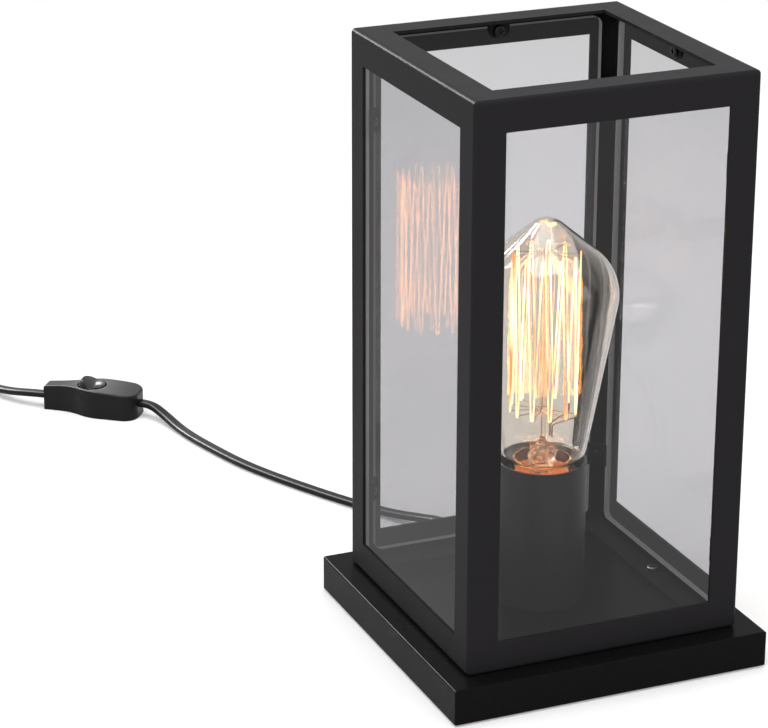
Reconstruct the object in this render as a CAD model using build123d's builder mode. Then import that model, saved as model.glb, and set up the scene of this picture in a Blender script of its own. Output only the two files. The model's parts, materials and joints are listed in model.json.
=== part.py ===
from build123d import *
import math
import os

os.makedirs("parts", exist_ok=True)

# Square lantern table lamp. Millimetres, +Z up, origin on the table under the middle of the base.
# The front faces -Y and the cord leaves the back, towards +Y.

# Base tray, cover and feet
base_width = 150.0
base_height = 16.0
base_sheet = 1.2
base_edge_radius = 0.8
foot_reach = 1.0              # feet stand this far below the tray's edge
foot_diameter = 14.0
foot_inset = 23.0             # foot centre from the tray's outer face
cover_sheet = 1.0
cover_recess = 0.5            # cover lies this far inside the tray's edge
cover_play = 0.4
standoff_diameter = 7.0
standoff_inset = 9.0          # standoff centre from the tray's outer face
cover_screw_radius = 1.25
cover_screw_head_radius = 2.6
cover_screw_head_height = 0.8
cover_screw_length = 7.0

# Lantern frame of steel angle
frame_width = 130.0
frame_height = 253.0
leg = 14.0
leg_sheet = 1.5
frame_edge_radius = 2.0
frame_screw_radius = 1.5
frame_screw_head_radius = 2.9
frame_screw_head_height = 1.6
nut_height = 2.4
nut_across_corners = 6.4
frame_screw_tail = 1.0        # screw beyond its nut

# Glass panes and what holds them
glass_thickness = 3.0
glass_play = 0.2              # room between pane and frame, and between pane and clip
pane_side_inset = 10.2        # pane's upright edge from the frame's outer face
pane_end_inset = 5.5          # pane's upper and lower edge from the frame's ends
pane_corner_radius = 3.5
clip_sheet = 1.0
clip_height = 11.0
clip_bend = 9.4               # where a clip's tab bends across the corner, from the outer face
clip_reach = 13.0
clip_bar_width = 3.0
clip_bar_height = 6.0
clip_low_inset = 37.0         # clip centre above the frame's foot
clip_high_inset = 41.0        # clip centre below the frame's top
clip_screw_radius = 1.1
clip_screw_head_radius = 2.1
clip_screw_head_height = 1.2
clip_screw_length = 4.5
tongue_width = 10.4
tongue_height = 8.1
tongue_corner_radius = 3.6
tongue_offset = 2.9           # beside the middle of its rail
tongue_sheet = 1.2
tongue_gap = 1.2              # between pane and tongue
tongue_screw_rise = 3.2       # screw above the tongue's foot
tongue_screw_radius = 1.25
tongue_screw_head_radius = 2.6
tongue_screw_head_height = 1.5

# Lampholder tube and lampholder
cup_diameter = 40.0
cup_height = 66.0
cup_sheet = 1.0
cup_rim_round = 0.3
nipple_radius = 5.0
nipple_bore_radius = 3.5
nipple_play = 0.1
nipple_nut_height = 3.0
nipple_nut_across_corners = 16.2
washer_height = 0.8
washer_radius = 9.0
nipple_tail = 0.6             # nipple below its nut
nipple_seat = 10.0            # nipple inside the lampholder's foot
holder_radius = 17.2
holder_top_drop = 4.0         # lampholder's mouth below the bulb cap's rim
holder_cavity_radius = 12.0
holder_web = 4.0
shell_radius = 14.2
shell_sheet = 0.7
shell_play = 0.1
shell_drop = 0.6              # shell's mouth below the lampholder's mouth
shell_lip_radius = 11.8
contact_height = 3.0          # centre contact's room above the web
contact_sheet = 0.6
contact_width = 7.0
contact_length = 16.0
contact_play = 0.2
terminal_size = 6.0
terminal_height = 8.0
terminal_offset = 5.0
lead_radius = 1.1
lead_offset = 1.6
lead_bend = 5.0
lead_splay_bend = 3.0

# Bulb
cap_recess = 3.0              # bulb cap's rim below the tube's rim
cap_length = 27.0
cap_radius = 13.1
cap_sheet = 0.4
cap_rim_radius = 13.6
cap_rim_height = 1.5
cap_cone_height = 2.5         # tapered foot of the cap's shell
cap_cone_radius = 10.8
tip_radius = 4.8
tip_height = 2.4
insulator_height = 4.1
insulator_hold = 2.0          # insulator inside the cap's shell
insulator_ledge = 0.6         # insulator beside the tip
cement_height = 1.6
cement_bore_radius = 3.0
bulb_radius = 32.0
bulb_length = 115.0           # glass above the cap's rim
bulb_wall = 1.0
bulb_neck_radius = 13.2
bulb_belly_height = 80.0      # widest ring above the cap's rim
bulb_shoulder_radius = 24.0
bulb_crown_slope = 50.0       # degrees, where the shoulder meets the straight crown
bulb_cone_slope = 10.0        # degrees from upright
bulb_throat_radius = 8.0
bulb_throat_height = 9.0      # where throat and cone meet, above the cap's rim
stem_radius = 5.5
stem_flare_edge = 1.0
stem_flare_top = 4.0
stem_top = 13.0               # heights above the cap's rim
stem_press_radius = 3.0
stem_press_top = 19.0
stem_rod_radius = 1.1
hub_low = 26.0
hub_high = 99.5
hub_radius = 2.4
hub_half_height = 1.5
cage_radius = 15.0
filament_radius = 0.3
filament_bend = 0.5
filament_hooks = 11           # upper hooks
support_radius = 0.2
support_play = 0.1
bulb_lead_radius = 0.4
bulb_lead_spread = 4.2        # leads from the bulb's axis where they leave the stem
bulb_lead_bend = 2.0

# Cord, flat two-core
cord_width = 5.8
cord_thickness = 3.4
cord_exit_height = 9.0
cord_straight = 9.0           # straight run at the cord's fixed ends
cord_switch_run = 6.0         # the shorter one where the cord turns down from the switch
cord_coil_run = 13.5
bush_hole_radius = 5.2
bush_play = 0.2
bush_flange_radius = 6.2
bush_flange = 1.9
bush_length = 21.0
bush_root_flat = 0.4          # root's height below its width
bush_tip_width = 7.6
bush_tip_height = 5.0

# In-line switch
switch_origin = (-83.6, 316.2)    # middle of the end towards the lamp
switch_heading = 143.0            # degrees, towards the end that faces the plug
switch_length = 53.0
switch_end_half = 4.5
switch_belly_half = 11.0
switch_belly = 20.0               # where the broad part starts to draw in
switch_neck = 46.0                # where the narrow part starts
switch_belly_bend = 24.0
switch_corner_radius = 7.5
switch_parting = 7.0
switch_end_height = 13.4
switch_crown_height = 15.2
switch_edge_radius = 1.2
switch_wall = 1.6
rocker_place = 27.0
rocker_radius = 7.6
rocker_well_play = 0.3
rocker_pivot_height = 13.0
rocker_swing = 30.0
rocker_face = 2.6                 # rocker's middle above its pivot
rocker_depth = 4.0
rocker_pin_radius = 1.0
rocker_pin_play = 0.06
rocker_pin_hold = 0.9             # pin's end inside the cover's wall
switch_screw_place = (10.5, 6.3)
switch_screw_radius = 1.2
switch_screw_head_radius = 2.2
switch_screw_head_height = 1.4
switch_screw_sink = 0.2
switch_screw_length = 8.5
switch_boss_radius = 2.6
switch_contact_sheet = 0.6
switch_contact_width = 4.0
switch_contact_length = 12.0
switch_contact_gap = 3.0

# Put-away coil, its tie and the plug
coil_start = (-126.0, 520.0)
coil_turns = 3                # turns in each of two layers
coil_pitch = 6.4
coil_throat = 23.5            # radius of the half turn that climbs
coil_ease = 3.2               # extra room round that half turn
coil_bed = 0.9                # coil's underside above the table, over its tie
tie_width = 4.0
tie_sheet = 0.5
tie_play = 0.35
plug_half_thickness = 6.85
plug_width = 35.0
plug_neck_width = 13.0
plug_neck_thickness = 10.0
plug_corner_radius = 4.6
plug_boot_length = 16.0
plug_body_length = 34.0
plug_boot_tip_width = 7.6
plug_boot_tip_thickness = 5.0
plug_boot_root_width = 11.0
plug_boot_root_thickness = 8.5
pin_radius = 2.0
pin_length = 19.0
pin_spacing = 18.6
pin_sleeve_length = 10.0
pin_core_radius = 1.5
pin_tip_radius = 1.2
pin_root = 6.0                # pin inside the plug's body
pin_play = 0.05

# Cord's routes on the table between its ends: bush to switch, and switch to coil
lamp_route = [
    (-4, 121, 5.4),
    (-14, 139, 2.5),
    (-28, 163, 1.85),
    (-45, 196, 1.85),
    (-58.5, 227, 1.85),
    (-66.5, 257, 1.85),
    (-70.2, 273, 1.85),
    (-72.4, 287.5, 2.0),
    (-74.8, 301.0, 4.0),
]
plug_route = [
    (-140.6, 363.6, 5.2),
    (-147.4, 378.4, 3.2),
    (-149.8, 398, 2.6),
    (-148, 424, 2.6),
    (-142, 450, 2.6),
    (-135.2, 475, 2.6),
]

# Heights and places worked out from the sizes above
tray_bottom = foot_reach
base_top = foot_reach + base_height
tray_underside = base_top - base_sheet
cover_bottom = tray_bottom + cover_recess
cover_top = cover_bottom + cover_sheet
frame_top = base_top + frame_height
window_width = frame_width - 2 * leg
window_height = frame_height - 2 * leg
pane_face = leg_sheet + glass_play
pane_back = pane_face + glass_thickness
clip_face = pane_back + glass_play
tongue_face = pane_back + tongue_gap
frame_screw_offset = frame_width / 2 - leg / 2
foot_spacing = base_width - 2 * foot_inset
standoff_spacing = base_width - 2 * standoff_inset
cup_floor = base_top + cup_sheet
cup_rim = base_top + cup_height
cap_rim = cup_rim - cap_recess
cap_foot = cap_rim - cap_length
cap_shell_foot = cap_foot + tip_height + insulator_height - insulator_hold
web_top = cap_foot - contact_height
web_bottom = web_top - holder_web
holder_top = cap_rim - holder_top_drop
nut_bottom = tray_underside - washer_height - nipple_nut_height
nipple_bottom = nut_bottom - nipple_tail
nipple_top = cup_floor + nipple_seat
terminal_bottom = web_bottom - terminal_height
bush_start = base_width / 2
bush_inside = bush_start - base_sheet - bush_play / 2 - bush_flange
bush_face = bush_start + bush_play / 2 + bush_flange
bush_end = bush_face + bush_length
cord_rest = cord_thickness / 2

sides = {"front": 0, "right": 90, "back": 180, "left": 270}
corners = {"front_left": 0, "front_right": 90, "back_right": 180, "back_left": 270}


def save(piece, name):
    piece.part.label = name
    export_step(piece.part, f"parts/{name}.step")


def polar(radius, degrees, z):
    turn = math.radians(degrees)
    return (radius * math.cos(turn), radius * math.sin(turn), z)


def plan_plane(turn, z):
    return Plane(origin=(0, 0, z), x_dir=polar(1, turn, 0), z_dir=(0, 0, 1))


def side_plane(turn, inset):
    # upright plane parallel to one side, its normal towards the lamp's axis, sketch Y upwards
    inward = Vector(polar(1, turn + 90, 0))
    return Plane(origin=inward * (inset - frame_width / 2), x_dir=polar(-1, turn, 0), z_dir=inward)


def corner_plane(turn, reach, z):
    # upright plane across one corner, its normal along the diagonal towards the lamp's axis
    inward = Vector(polar(1, turn + 45, 0))
    place = inward * (reach - frame_width / math.sqrt(2)) + Vector(0, 0, z)
    return Plane(origin=place, x_dir=(0, 0, 1), z_dir=inward)


def screws(seats, head_radius, head_height, shank_radius, shank_length):
    # each head stands on its seat plane, and its shank goes down through it
    with BuildPart() as group:
        for seat in seats:
            with BuildSketch(seat):
                Circle(head_radius)
            extrude(amount=head_height)
            with BuildSketch(seat):
                Circle(shank_radius)
            extrude(amount=-shank_length)
    return group


# Base tray: folded sheet with four welded standoffs for the cover
with BuildPart() as base_tray:
    with BuildSketch(Plane.XY.offset(tray_bottom)):
        Rectangle(base_width, base_width)
    extrude(amount=base_height)
    fillet(base_tray.edges().filter_by(Axis.Z), base_edge_radius)
    fillet(base_tray.faces().sort_by(Axis.Z)[-1].edges(), base_edge_radius)
    with BuildSketch(Plane.XY.offset(tray_bottom)):
        Rectangle(base_width - 2 * base_sheet, base_width - 2 * base_sheet)
    extrude(amount=base_height - base_sheet, mode=Mode.SUBTRACT)
    with BuildSketch(Plane.XY.offset(cover_top)):
        with GridLocations(standoff_spacing, standoff_spacing, 2, 2):
            Circle(standoff_diameter / 2)
            Circle(cover_screw_radius + glass_play / 2, mode=Mode.SUBTRACT)
    extrude(amount=tray_underside - cover_top)
    with BuildSketch(Plane.XY.offset(tray_underside)):
        Circle(nipple_radius + nipple_play)
        with PolarLocations(frame_screw_offset, 4):
            Circle(frame_screw_radius + glass_play)
    extrude(amount=base_sheet, mode=Mode.SUBTRACT)
    with BuildSketch(Plane.XZ.offset(-base_width / 2)):
        with Locations((0, cord_exit_height)):
            Circle(bush_hole_radius)
    extrude(amount=2 * base_sheet, mode=Mode.SUBTRACT)
save(base_tray, "base_tray")

with BuildPart() as bottom_cover:
    cover_width = base_width - 2 * base_sheet - 2 * cover_play
    with BuildSketch(Plane.XY.offset(cover_bottom)):
        Rectangle(cover_width, cover_width)
        with GridLocations(standoff_spacing, standoff_spacing, 2, 2):
            Circle(cover_screw_radius + glass_play, mode=Mode.SUBTRACT)
    extrude(amount=cover_sheet)
save(bottom_cover, "bottom_cover")

with BuildPart() as rubber_feet:
    with BuildSketch():
        with GridLocations(foot_spacing, foot_spacing, 2, 2):
            Circle(foot_diameter / 2)
    extrude(amount=cover_bottom)
save(rubber_feet, "rubber_feet")

cover_seats = [
    Plane(origin=place.position + Vector(0, 0, cover_bottom), z_dir=(0, 0, -1))
    for place in GridLocations(standoff_spacing, standoff_spacing, 2, 2)
]
save(screws(cover_seats, cover_screw_head_radius, cover_screw_head_height,
            cover_screw_radius, cover_screw_length), "cover_screws")

# Lantern frame, first as one hollow box with open sides, then cut at its welds into bars
with BuildPart() as frame_box:
    with BuildSketch(Plane.XY.offset(base_top)):
        Rectangle(frame_width, frame_width)
    extrude(amount=frame_height)
    fillet(frame_box.edges(), frame_edge_radius)
    with BuildSketch(Plane.XY.offset(base_top + leg_sheet)):
        Rectangle(frame_width - 2 * leg_sheet, frame_width - 2 * leg_sheet)
    extrude(amount=frame_height - 2 * leg_sheet, mode=Mode.SUBTRACT)
    with BuildSketch(Plane.XY.offset(base_top)):
        Rectangle(window_width, window_width)
        with PolarLocations(frame_screw_offset, 4):
            Circle(frame_screw_radius + glass_play)
    extrude(amount=leg_sheet, mode=Mode.SUBTRACT)
    with BuildSketch(Plane.XY.offset(frame_top - leg_sheet)):
        Rectangle(window_width, window_width)
    extrude(amount=leg_sheet, mode=Mode.SUBTRACT)
    for upright in (Plane.XZ, Plane.YZ):
        with BuildSketch(upright):
            with Locations((0, base_top + frame_height / 2)):
                Rectangle(window_width, window_height)
        extrude(amount=frame_width, both=True, mode=Mode.SUBTRACT)

for side, turn in sides.items():
    for level, rail_bottom in (("bottom", base_top), ("top", frame_top - leg)):
        with BuildPart() as rail:
            add(frame_box.part)
            with BuildSketch(plan_plane(turn, rail_bottom)):
                with BuildLine():
                    Polyline((0, 0), (-frame_width, -frame_width), (frame_width, -frame_width), close=True)
                make_face()
            extrude(amount=leg, mode=Mode.INTERSECT)
        save(rail, f"{level}_rail_{side}")

clip_levels = (base_top + clip_low_inset, frame_top - clip_high_inset)
clip_middle = (clip_bend + clip_face) / 2
clip_bar_half = clip_bar_width / math.sqrt(2)
clip_bar_end = clip_middle * math.sqrt(2)
corner = -frame_width / 2

for place, turn in corners.items():
    with BuildPart() as post:
        add(frame_box.part)
        with BuildSketch(plan_plane(turn, base_top + leg)):
            with Locations((corner + leg / 2, corner + leg / 2)):
                Rectangle(leg, leg)
        extrude(amount=window_height, mode=Mode.INTERSECT)
        for height in clip_levels:
            with BuildSketch(plan_plane(turn, height - clip_bar_height / 2)):
                with BuildLine():
                    inner = corner + leg_sheet
                    end = corner + clip_middle
                    Polyline(
                        (inner, inner),
                        (inner + clip_bar_half, inner),
                        (end + clip_bar_half / 2, end - clip_bar_half / 2),
                        (end - clip_bar_half / 2, end + clip_bar_half / 2),
                        (inner, inner + clip_bar_half),
                        close=True,
                    )
                make_face()
            extrude(amount=clip_bar_height)
            with BuildSketch(corner_plane(turn, clip_bar_end, height)):
                Circle(clip_screw_radius + nipple_play)
            extrude(amount=-clip_screw_length, mode=Mode.SUBTRACT)
    save(post, f"corner_post_{place}")

# Frame to base: screws through the bottom rails' flanges, nuts under the tray
frame_seats = [
    Plane(origin=polar(frame_screw_offset, turn, base_top + leg_sheet)) for turn in sides.values()
]
frame_screw_length = leg_sheet + base_sheet + nut_height + frame_screw_tail
save(screws(frame_seats, frame_screw_head_radius, frame_screw_head_height,
            frame_screw_radius, frame_screw_length), "frame_screws")

with BuildPart() as frame_nuts:
    with BuildSketch(Plane.XY.offset(tray_underside - nut_height)):
        with PolarLocations(frame_screw_offset, 4):
            RegularPolygon(nut_across_corners / 2, 6)
            Circle(frame_screw_radius + nipple_play, mode=Mode.SUBTRACT)
    extrude(amount=nut_height)
save(frame_nuts, "frame_nuts")

# Glass panes, larger than the windows, inside the legs
for side, turn in sides.items():
    with BuildPart() as pane:
        with BuildSketch(side_plane(turn, pane_face)):
            with Locations((0, base_top + frame_height / 2)):
                RectangleRounded(frame_width - 2 * pane_side_inset, frame_height - 2 * pane_end_inset,
                                 pane_corner_radius)
        extrude(amount=glass_thickness)
    save(pane, f"glass_{side}")

# Corner clips: bent strips across each post, with a tab on both panes
with BuildPart() as corner_clips:
    bend_shift = clip_sheet * (math.sqrt(2) - 1)
    inner_face = clip_face + clip_sheet
    for turn in corners.values():
        for height in clip_levels:
            with BuildSketch(plan_plane(turn, height - clip_height / 2)):
                with Locations((corner, corner)):
                    with BuildLine(Location((corner, corner))):
                        Polyline(
                            (clip_reach, clip_face),
                            (clip_bend, clip_face),
                            (clip_face, clip_bend),
                            (clip_face, clip_reach),
                            (inner_face, clip_reach),
                            (inner_face, clip_bend + bend_shift),
                            (clip_bend + bend_shift, inner_face),
                            (clip_reach, inner_face),
                            close=True,
                        )
                make_face()
            extrude(amount=clip_height)
            with BuildSketch(corner_plane(turn, clip_bar_end, height)):
                Circle(clip_screw_radius + nipple_play)
            extrude(amount=clip_sheet, mode=Mode.SUBTRACT)
save(corner_clips, "corner_clips")

clip_seats = [
    corner_plane(turn, clip_bar_end + clip_sheet, height)
    for turn in corners.values()
    for height in clip_levels
]
save(screws(clip_seats, clip_screw_head_radius, clip_screw_head_height,
            clip_screw_radius, clip_screw_length), "clip_screws")

# Tongues under the top rails, each with a screw that clamps the pane's upper edge
tongue_bottom = frame_top - leg_sheet - tongue_height
tongue_screw_height = tongue_bottom + tongue_screw_rise

with BuildPart() as glass_tongues:
    for turn in sides.values():
        with BuildSketch(side_plane(turn, tongue_face)) as tongue_outline:
            with Locations((tongue_offset, tongue_bottom + tongue_height / 2)):
                Rectangle(tongue_width, tongue_height)
            fillet(tongue_outline.vertices().group_by(Axis.Y)[0], tongue_corner_radius)
            with Locations((tongue_offset, tongue_screw_height)):
                Circle(tongue_screw_radius + nipple_play, mode=Mode.SUBTRACT)
        extrude(amount=tongue_sheet)
save(glass_tongues, "glass_tongues")

tongue_seats = []
for turn in sides.values():
    seat = side_plane(turn, tongue_face + tongue_sheet)
    seat.origin += seat.x_dir * tongue_offset + Vector(0, 0, tongue_screw_height)
    tongue_seats.append(seat)
save(screws(tongue_seats, tongue_screw_head_radius, tongue_screw_head_height,
            tongue_screw_radius, tongue_sheet + tongue_gap - glass_play), "tongue_screws")

# Tube round the lampholder
with BuildPart() as socket_tube:
    with BuildSketch(Plane.XY.offset(base_top)):
        Circle(cup_diameter / 2)
    extrude(amount=cup_height)
    with BuildSketch(Plane.XY.offset(cup_floor)):
        Circle(cup_diameter / 2 - cup_sheet)
    extrude(amount=cup_height - cup_sheet, mode=Mode.SUBTRACT)
    with BuildSketch(Plane.XY.offset(base_top)):
        Circle(nipple_radius + nipple_play)
    extrude(amount=cup_sheet, mode=Mode.SUBTRACT)
    rim_edges = socket_tube.faces().sort_by(Axis.Z)[-1].edges()
    fillet(rim_edges, cup_rim_round)
save(socket_tube, "socket_tube")

# Hollow nipple, washer and nut that clamp tube and lampholder to the tray
with BuildPart() as nipple:
    with BuildSketch(Plane.XY.offset(nipple_bottom)):
        Circle(nipple_radius)
        Circle(nipple_bore_radius, mode=Mode.SUBTRACT)
    extrude(amount=nipple_top - nipple_bottom)
save(nipple, "threaded_nipple")

with BuildPart() as nipple_washer:
    with BuildSketch(Plane.XY.offset(tray_underside - washer_height)):
        Circle(washer_radius)
        Circle(nipple_radius + nipple_play, mode=Mode.SUBTRACT)
    extrude(amount=washer_height)
save(nipple_washer, "lock_washer")

with BuildPart() as nipple_nut:
    with BuildSketch(Plane.XY.offset(nut_bottom)):
        RegularPolygon(nipple_nut_across_corners / 2, 6)
        Circle(nipple_radius + nipple_play, mode=Mode.SUBTRACT)
    extrude(amount=nipple_nut_height)
save(nipple_nut, "nipple_nut")

# Lampholder body: foot on the nipple, wiring room, web, and a mouth for the screw shell
with BuildPart() as holder:
    with BuildSketch(Plane.XY.offset(cup_floor)):
        Circle(holder_radius)
    extrude(amount=holder_top - cup_floor)
    with BuildSketch(Plane.XY.offset(cup_floor)):
        Circle(nipple_radius + nipple_play)
    extrude(amount=nipple_seat, mode=Mode.SUBTRACT)
    with BuildSketch(Plane.XY.offset(nipple_top)):
        Circle(holder_cavity_radius)
    extrude(amount=web_bottom - nipple_top, mode=Mode.SUBTRACT)
    with BuildSketch(Plane.XY.offset(web_top)):
        Circle(shell_radius + shell_play)
    extrude(amount=holder_top - web_top, mode=Mode.SUBTRACT)
save(holder, "lampholder_body")

with BuildPart() as holder_shell:
    with BuildSketch(Plane.XY.offset(web_top)):
        Circle(shell_radius)
        Circle(shell_lip_radius, mode=Mode.SUBTRACT)
    extrude(amount=shell_sheet)
    with BuildSketch(Plane.XY.offset(web_top)):
        Circle(shell_radius)
        Circle(shell_radius - shell_sheet, mode=Mode.SUBTRACT)
    extrude(amount=holder_top - shell_drop - web_top)
save(holder_shell, "lampholder_shell")

# Centre contact: a strip that lies on the web and springs up under the bulb's tip
with BuildPart() as centre_contact:
    contact_top = cap_foot - contact_play
    half = contact_length / 2
    with BuildSketch(Plane.XZ):
        with BuildLine():
            Polyline(
                (-half, web_top),
                (-half / 3, web_top),
                (half / 3, contact_top - contact_sheet),
                (half, contact_top - contact_sheet),
                (half, contact_top),
                (half / 3 - contact_sheet / 2, contact_top),
                (-half / 3 - contact_sheet / 2, web_top + contact_sheet),
                (-half, web_top + contact_sheet),
                close=True,
            )
        make_face()
    extrude(amount=contact_width / 2, both=True)
save(centre_contact, "centre_contact")

with BuildPart() as terminals:
    with BuildSketch(Plane.XY.offset(terminal_bottom)):
        with Locations((-terminal_offset, 0), (terminal_offset, 0)):
            Rectangle(terminal_size, terminal_size)
    extrude(amount=terminal_height)
save(terminals, "lampholder_terminals")

# Strain relief bush in the tray's back wall
wall_inside = bush_start - base_sheet
with BuildPart() as cord_bush:
    with BuildSketch(Plane.YZ):
        with BuildLine():
            Polyline(
                (bush_inside, cord_exit_height),
                (bush_inside, cord_exit_height + bush_flange_radius),
                (wall_inside - bush_play / 2, cord_exit_height + bush_flange_radius),
                (wall_inside - bush_play / 2, cord_exit_height + bush_hole_radius - bush_play),
                (bush_start + bush_play / 2, cord_exit_height + bush_hole_radius - bush_play),
                (bush_start + bush_play / 2, cord_exit_height + bush_flange_radius),
                (bush_face, cord_exit_height + bush_flange_radius),
                (bush_face, cord_exit_height),
                close=True,
            )
        make_face()
    revolve(axis=Axis((0, 0, cord_exit_height), (0, 1, 0)))
    for place, width, height in (
        (bush_face, 2 * bush_hole_radius - 2 * bush_play, 2 * bush_hole_radius - 2 * bush_play - bush_root_flat),
        (bush_end, bush_tip_width, bush_tip_height),
    ):
        with BuildSketch(Plane(origin=(0, place, cord_exit_height), x_dir=(1, 0, 0), z_dir=(0, 1, 0))):
            SlotOverall(width, height)
    loft()
save(cord_bush, "cord_bush")

# Inner leads, from the bush along the tray and up through the nipple to the terminals
for name, hand in (("lead_live", 1), ("lead_neutral", -1)):
    with BuildPart() as lead:
        x_low = hand * lead_offset
        x_high = hand * terminal_offset
        with BuildLine() as lead_route:
            FilletPolyline(
                (x_low, bush_inside, cord_exit_height),
                (x_low, 0, cord_exit_height),
                (x_low, 0, nipple_top + lead_radius),
                (x_high, 0, (nipple_top + 2 * terminal_bottom) / 3),
                (x_high, 0, terminal_bottom),
                radius=[lead_bend, lead_splay_bend, lead_splay_bend],
            )
        with BuildSketch(Plane(origin=lead_route.line @ 0, z_dir=lead_route.line % 0)):
            Circle(lead_radius)
        sweep(path=lead_route.line)
    save(lead, name)

# Bulb cap: brass shell, insulator and tip contact
with BuildPart() as bulb_cap:
    with BuildSketch(Plane.XZ):
        with BuildLine():
            Polyline(
                (cap_cone_radius, cap_shell_foot),
                (cap_cone_radius + cap_sheet, cap_shell_foot),
                (cap_radius, cap_shell_foot + cap_cone_height),
                (cap_radius, cap_rim - cap_rim_height),
                (cap_rim_radius, cap_rim - cap_rim_height),
                (cap_rim_radius, cap_rim),
                (cap_radius - cap_sheet, cap_rim),
                (cap_radius - cap_sheet, cap_shell_foot + cap_cone_height),
                close=True,
            )
        make_face()
    revolve(axis=Axis.Z)
save(bulb_cap, "bulb_cap")

with BuildPart() as cap_insulator:
    insulator_radius = cap_cone_radius - nipple_play
    insulator_bottom = cap_foot + tip_height
    with BuildSketch(Plane.XZ):
        with BuildLine():
            Polyline(
                (0, insulator_bottom),
                (tip_radius + insulator_ledge, insulator_bottom),
                (insulator_radius, cap_shell_foot),
                (insulator_radius, insulator_bottom + insulator_height),
                (0, insulator_bottom + insulator_height),
                close=True,
            )
        make_face()
    revolve(axis=Axis.Z)
save(cap_insulator, "cap_insulator")

with BuildPart() as cap_tip:
    with BuildSketch(Plane.XY.offset(cap_foot)):
        Circle(tip_radius)
    extrude(amount=tip_height)
    fillet(cap_tip.edges().sort_by(Axis.Z)[0], tip_height / 2)
save(cap_tip, "cap_contact")

# Cement that holds the glass in the cap, seen through the neck
with BuildPart() as cap_cement:
    with BuildSketch(Plane.XY.offset(cap_rim - cement_height)):
        Circle(cap_radius - cap_sheet - nipple_play)
        Circle(cement_bore_radius, mode=Mode.SUBTRACT)
    extrude(amount=cement_height)
save(cap_cement, "cap_cement")

# Bulb glass: throat, straight cone, shoulder, straight crown and rounded point
belly = cap_rim + bulb_belly_height
bulb_point = cap_rim + bulb_length
cone = math.radians(bulb_cone_slope)
crown = math.radians(bulb_crown_slope)
shoulder_centre = (bulb_radius - bulb_shoulder_radius, belly)
point_radius = (
    shoulder_centre[0] * math.cos(crown) + (belly - bulb_point) * math.sin(crown) + bulb_shoulder_radius
) / (1 - math.sin(crown))
point_centre = (0, bulb_point - point_radius)
cone_top = belly - bulb_shoulder_radius * math.sin(cone)
throat_height = cap_rim + bulb_throat_height
throat_out = (
    shoulder_centre[0] + bulb_shoulder_radius * math.cos(cone)
    - (cone_top - throat_height) * math.tan(cone)
)
throat_centre = (
    throat_out - bulb_throat_radius * math.cos(cone),
    throat_height + bulb_throat_radius * math.sin(cone),
)


def on_arc(centre, radius, degrees):
    turn = math.radians(degrees)
    return (centre[0] + radius * math.cos(turn), centre[1] + radius * math.sin(turn))


def bulb_profile(inset):
    # closed half profile of the bulb, drawn in by the inset along every curve
    neck = bulb_neck_radius - inset
    throat = bulb_throat_radius - inset
    shoulder = bulb_shoulder_radius - inset
    point = point_radius - inset
    neck_turn = -math.degrees(math.acos((neck - throat_centre[0]) / throat))
    neck_top = on_arc(throat_centre, throat, neck_turn)
    with BuildLine() as outline:
        Line((0, cap_rim), (neck, cap_rim))
        Line((neck, cap_rim), neck_top)
        ThreePointArc(neck_top, on_arc(throat_centre, throat, (neck_turn - bulb_cone_slope) / 2),
                      on_arc(throat_centre, throat, -bulb_cone_slope))
        Line(on_arc(throat_centre, throat, -bulb_cone_slope),
             on_arc(shoulder_centre, shoulder, -bulb_cone_slope))
        ThreePointArc(on_arc(shoulder_centre, shoulder, -bulb_cone_slope),
                      on_arc(shoulder_centre, shoulder, (bulb_crown_slope - bulb_cone_slope) / 2),
                      on_arc(shoulder_centre, shoulder, bulb_crown_slope))
        Line(on_arc(shoulder_centre, shoulder, bulb_crown_slope),
             on_arc(point_centre, point, bulb_crown_slope))
        ThreePointArc(on_arc(point_centre, point, bulb_crown_slope),
                      on_arc(point_centre, point, (bulb_crown_slope + 90) / 2),
                      on_arc(point_centre, point, 90))
        Line(on_arc(point_centre, point, 90), (0, cap_rim))
    return outline.line


with BuildPart() as bulb_glass:
    for inset, cut in ((0, Mode.ADD), (bulb_wall, Mode.SUBTRACT)):
        with BuildSketch(Plane.XZ):
            add(bulb_profile(inset))
            make_face()
        revolve(axis=Axis.Z, mode=cut)
save(bulb_glass, "bulb_glass")

# Glass stem: flare in the neck, tube, press, and a rod with two buttons for the support wires
with BuildPart() as bulb_stem:
    flare = bulb_neck_radius - bulb_wall - glass_play
    with BuildSketch(Plane.XZ):
        with BuildLine():
            Polyline(
                (0, cap_rim),
                (flare, cap_rim),
                (flare, cap_rim + stem_flare_edge),
                (stem_radius, cap_rim + stem_flare_top),
                (stem_radius, cap_rim + stem_top),
                (stem_press_radius, cap_rim + stem_top),
                (stem_press_radius, cap_rim + stem_press_top),
                (stem_rod_radius, cap_rim + stem_press_top),
                (stem_rod_radius, cap_rim + hub_low - hub_half_height),
                (hub_radius, cap_rim + hub_low - hub_half_height),
                (hub_radius, cap_rim + hub_low + hub_half_height),
                (stem_rod_radius, cap_rim + hub_low + hub_half_height),
                (stem_rod_radius, cap_rim + hub_high - hub_half_height),
                (hub_radius, cap_rim + hub_high - hub_half_height),
                (hub_radius, cap_rim + hub_high + hub_half_height),
                (0, cap_rim + hub_high + hub_half_height),
                close=True,
            )
        make_face()
    revolve(axis=Axis.Z)
save(bulb_stem, "bulb_stem")

# Squirrel-cage filament: strands up and down between two rings of hooks
hook_step = 360 / (filament_hooks + 1)
strand_gap = 2 * cage_radius * math.sin(math.radians(hook_step / 4))
filament_low = cap_rim + hub_low
filament_high = cap_rim + hub_high
strand_height = filament_high - filament_low
# the strands' lines cross this far beyond the bend that rounds them
overshoot = (filament_bend * strand_height / strand_gap - filament_bend) / (1 - 2 * filament_bend / strand_gap)

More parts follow.
